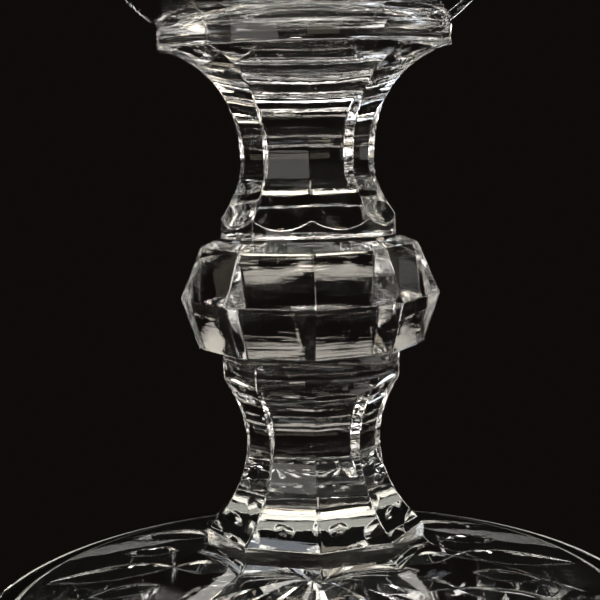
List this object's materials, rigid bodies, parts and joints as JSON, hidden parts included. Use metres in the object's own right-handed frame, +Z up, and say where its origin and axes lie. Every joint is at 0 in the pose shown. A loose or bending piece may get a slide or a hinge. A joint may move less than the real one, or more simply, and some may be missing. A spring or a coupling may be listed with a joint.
{
  "type": "glass candlestick",
  "caption": "Clear pressed-glass candlestick: a shallow round candle cup on a disc, a nine-sided waisted stem with a double-cone knop, and a wide low round base.",
  "frame": {"origin": "middle of the underside of the base, on the surface that the candlestick stands on", "axes": "+Z up along the stem; one corner of the nine-sided stem points to -Y"},
  "size_m": [0.1394, 0.1394, 0.1524],
  "materials": {
    "clear_glass": "fire-polished clear glass with faint tool marks on the facets"
  },
  "bodies": {
    "root": {"base": "clear_glass", "lower_stem": "clear_glass", "knop": "clear_glass", "upper_stem": "clear_glass", "disc": "clear_glass", "candle_cup": "clear_glass"}
  },
  "joints": []
}
